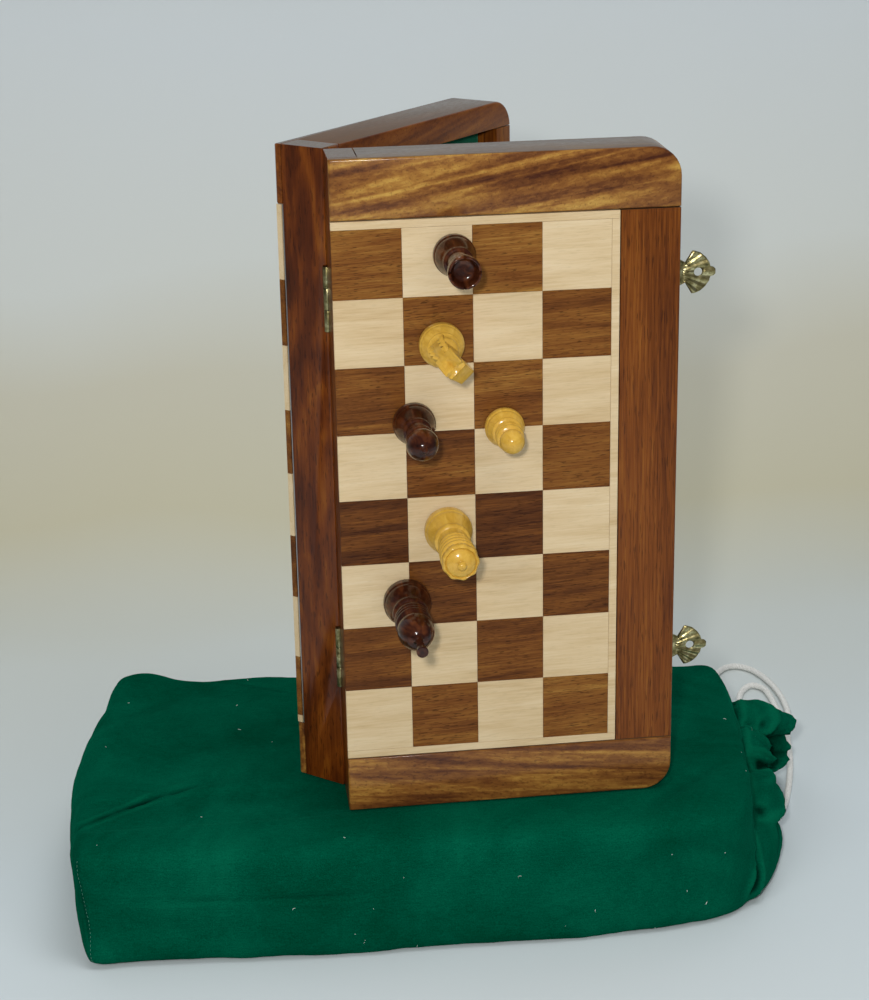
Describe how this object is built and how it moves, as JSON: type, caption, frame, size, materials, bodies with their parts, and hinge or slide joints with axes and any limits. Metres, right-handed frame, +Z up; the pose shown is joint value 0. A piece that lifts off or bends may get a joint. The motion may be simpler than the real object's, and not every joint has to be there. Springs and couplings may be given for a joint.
{
  "type": "folding magnetic chess set with bag",
  "caption": "Folding wooden magnetic chess box standing half open on its drawstring bag, with hinges, hook-over latches, chess men on its face and in flocked trays.",
  "frame": {"origin": "middle of the bag's flat underside, where it rests on a table", "axes": "+Z up; +X along the front half's width from hinge edge to latch edge; +Y from its playing face to its seam"},
  "size_m": [0.3338, 0.2643, 0.3023],
  "materials": {
    "rosewood": "satin lacquer, golden brown with dark figure",
    "dark_rosewood": "satin lacquer, dark reddish brown",
    "veneer": "satin lacquer, maple and dark rosewood squares",
    "boxwood": "glossy lacquer, yellow boxwood",
    "black_man": "glossy lacquer, very dark rosewood",
    "steel": "plain mild steel sheet",
    "tray_green": "short green flock",
    "brass": "antique, dull in the recesses",
    "bag_green": "dark green velvet",
    "cord": "twisted silvery satin"
  },
  "bodies": {
    "bag": {"carry_bag": "bag_green", "bag_cord": "cord"},
    "front_half": {"front_top_rail": "rosewood", "front_bottom_rail": "rosewood", "front_outer_rail": "rosewood", "front_spine_rail": "dark_rosewood", "front_board_panel": "veneer", "front_steel_sheet": "steel", "front_piece_tray": "tray_green", "lower_hinge_front_leaf": "brass", "lower_hinge_pin": "brass", "lower_latch_plate": "brass", "upper_hinge_front_leaf": "brass", "upper_hinge_pin": "brass", "upper_latch_plate": "brass"},
    "rear_half": {"rear_top_rail": "rosewood", "rear_bottom_rail": "rosewood", "rear_outer_rail": "rosewood", "rear_spine_rail": "dark_rosewood", "rear_board_panel": "veneer", "rear_steel_sheet": "steel", "rear_piece_tray": "tray_green", "lower_hinge_rear_leaf": "brass", "lower_latch_stud": "brass", "upper_hinge_rear_leaf": "brass", "upper_latch_stud": "brass"},
    "lower_hasp": {"lower_hasp": "brass"},
    "upper_hasp": {"upper_hasp": "brass"},
    "black_pawn_1": {"black_pawn_1": "black_man"},
    "black_pawn_2": {"black_pawn_2": "black_man"},
    "black_pawn_3": {"black_pawn_3": "black_man"},
    "black_pawn_4": {"black_pawn_4": "black_man"},
    "black_pawn_5": {"black_pawn_5": "black_man"},
    "black_pawn_6": {"black_pawn_6": "black_man"},
    "black_pawn_7": {"black_pawn_7": "black_man"},
    "black_pawn_8": {"black_pawn_8": "black_man"},
    "black_rook_1": {"black_rook_1": "black_man"},
    "black_knight_1": {"black_knight_1": "black_man"},
    "black_bishop_1": {"black_bishop_1": "black_man"},
    "black_queen": {"black_queen": "black_man"},
    "black_king": {"black_king": "black_man"},
    "black_bishop_2": {"black_bishop_2": "black_man"},
    "black_knight_2": {"black_knight_2": "black_man"},
    "black_rook_2": {"black_rook_2": "black_man"},
    "white_pawn_1": {"white_pawn_1": "boxwood"},
    "white_pawn_2": {"white_pawn_2": "boxwood"},
    "white_pawn_3": {"white_pawn_3": "boxwood"},
    "white_pawn_4": {"white_pawn_4": "boxwood"},
    "white_pawn_5": {"white_pawn_5": "boxwood"},
    "white_pawn_6": {"white_pawn_6": "boxwood"},
    "white_pawn_7": {"white_pawn_7": "boxwood"},
    "white_pawn_8": {"white_pawn_8": "boxwood"},
    "white_rook_1": {"white_rook_1": "boxwood"},
    "white_knight_1": {"white_knight_1": "boxwood"},
    "white_bishop_1": {"white_bishop_1": "boxwood"},
    "white_queen": {"white_queen": "boxwood"},
    "white_king": {"white_king": "boxwood"},
    "white_bishop_2": {"white_bishop_2": "boxwood"},
    "white_knight_2": {"white_knight_2": "boxwood"},
    "white_rook_2": {"white_rook_2": "boxwood"}
  },
  "joints": [
    {"name": "box_lift", "type": "slide", "parent": "bag", "child": "front_half", "axis": [0, 0, 1], "range_m": [0, 0.3]},
    {"name": "board_fold", "type": "hinge", "parent": "front_half", "child": "rear_half", "pos_m": [-0.0327, -0.027, 0.0483], "axis": [0, 0, 1], "range_deg": [-48.7, 131.3]},
    {"name": "lower_hasp_swing", "type": "hinge", "parent": "front_half", "child": "lower_hasp", "pos_m": [0.0962, -0.0285, 0.0998], "axis": [0, 0, 1], "range_deg": [-85, 90]},
    {"name": "upper_hasp_swing", "type": "hinge", "parent": "front_half", "child": "upper_hasp", "pos_m": [0.0962, -0.0285, 0.2508], "axis": [0, 0, 1], "range_deg": [-85, 90]},
    {"name": "black_pawn_1_out", "type": "slide", "parent": "front_half", "child": "black_pawn_1", "axis": [0, 1, 0], "range_m": [0, 0.015]},
    {"name": "black_pawn_2_out", "type": "slide", "parent": "front_half", "child": "black_pawn_2", "axis": [0, 1, 0], "range_m": [0, 0.015]},
    {"name": "black_pawn_3_out", "type": "slide", "parent": "front_half", "child": "black_pawn_3", "axis": [0, 1, 0], "range_m": [0, 0.015]},
    {"name": "black_pawn_4_out", "type": "slide", "parent": "front_half", "child": "black_pawn_4", "axis": [0, 1, 0], "range_m": [0, 0.015]},
    {"name": "black_pawn_5_out", "type": "slide", "parent": "front_half", "child": "black_pawn_5", "axis": [0, 1, 0], "range_m": [0, 0.015]},
    {"name": "black_pawn_6_out", "type": "slide", "parent": "front_half", "child": "black_pawn_6", "axis": [0, 1, 0], "range_m": [0, 0.015]},
    {"name": "black_pawn_7_out", "type": "slide", "parent": "front_half", "child": "black_pawn_7", "axis": [0, 1, 0], "range_m": [0, 0.015]},
    {"name": "black_pawn_8_out", "type": "slide", "parent": "front_half", "child": "black_pawn_8", "axis": [0, 1, 0], "range_m": [0, 0.015]},
    {"name": "black_rook_1_off", "type": "slide", "parent": "front_half", "child": "black_rook_1", "axis": [0, -1, 0], "range_m": [0, 0.03]},
    {"name": "black_knight_1_out", "type": "slide", "parent": "front_half", "child": "black_knight_1", "axis": [0, 1, 0], "range_m": [0, 0.02]},
    {"name": "black_bishop_1_off", "type": "slide", "parent": "front_half", "child": "black_bishop_1", "axis": [0, -1, 0], "range_m": [0, 0.03]},
    {"name": "black_queen_out", "type": "slide", "parent": "front_half", "child": "black_queen", "axis": [0, 1, 0], "range_m": [0, 0.02]},
    {"name": "black_king_off", "type": "slide", "parent": "front_half", "child": "black_king", "axis": [0, -1, 0], "range_m": [0, 0.03]},
    {"name": "black_bishop_2_out", "type": "slide", "parent": "front_half", "child": "black_bishop_2", "axis": [0, 1, 0], "range_m": [0, 0.02]},
    {"name": "black_knight_2_out", "type": "slide", "parent": "front_half", "child": "black_knight_2", "axis": [0, 1, 0], "range_m": [0, 0.02]},
    {"name": "black_rook_2_out", "type": "slide", "parent": "front_half", "child": "black_rook_2", "axis": [0, 1, 0], "range_m": [0, 0.02]},
    {"name": "white_pawn_1_off", "type": "slide", "parent": "front_half", "child": "white_pawn_1", "axis": [0, -1, 0], "range_m": [0, 0.03]},
    {"name": "white_pawn_2_out", "type": "slide", "parent": "rear_half", "child": "white_pawn_2", "axis": [0.7513, -0.66, 0], "range_m": [0, 0.015]},
    {"name": "white_pawn_3_out", "type": "slide", "parent": "rear_half", "child": "white_pawn_3", "axis": [0.7513, -0.66, 0], "range_m": [0, 0.015]},
    {"name": "white_pawn_4_out", "type": "slide", "parent": "rear_half", "child": "white_pawn_4", "axis": [0.7513, -0.66, 0], "range_m": [0, 0.015]},
    {"name": "white_pawn_5_out", "type": "slide", "parent": "rear_half", "child": "white_pawn_5", "axis": [0.7513, -0.66, 0], "range_m": [0, 0.015]},
    {"name": "white_pawn_6_out", "type": "slide", "parent": "rear_half", "child": "white_pawn_6", "axis": [0.7513, -0.66, 0], "range_m": [0, 0.015]},
    {"name": "white_pawn_7_out", "type": "slide", "parent": "rear_half", "child": "white_pawn_7", "axis": [0.7513, -0.66, 0], "range_m": [0, 0.015]},
    {"name": "white_pawn_8_out", "type": "slide", "parent": "rear_half", "child": "white_pawn_8", "axis": [0.7513, -0.66, 0], "range_m": [0, 0.015]},
    {"name": "white_rook_1_out", "type": "slide", "parent": "rear_half", "child": "white_rook_1", "axis": [0.7513, -0.66, 0], "range_m": [0, 0.02]},
    {"name": "white_knight_1_off", "type": "slide", "parent": "front_half", "child": "white_knight_1", "axis": [0, -1, 0], "range_m": [0, 0.03]},
    {"name": "white_bishop_1_out", "type": "slide", "parent": "rear_half", "child": "white_bishop_1", "axis": [0.7513, -0.66, 0], "range_m": [0, 0.02]},
    {"name": "white_queen_off", "type": "slide", "parent": "front_half", "child": "white_queen", "axis": [0, -1, 0], "range_m": [0, 0.03]},
    {"name": "white_king_out", "type": "slide", "parent": "rear_half", "child": "white_king", "axis": [0.7513, -0.66, 0], "range_m": [0, 0.02]},
    {"name": "white_bishop_2_out", "type": "slide", "parent": "rear_half", "child": "white_bishop_2", "axis": [0.7513, -0.66, 0], "range_m": [0, 0.02]},
    {"name": "white_knight_2_out", "type": "slide", "parent": "rear_half", "child": "white_knight_2", "axis": [0.7513, -0.66, 0], "range_m": [0, 0.02]},
    {"name": "white_rook_2_out", "type": "slide", "parent": "rear_half", "child": "white_rook_2", "axis": [0.7513, -0.66, 0], "range_m": [0, 0.02]}
  ]
}
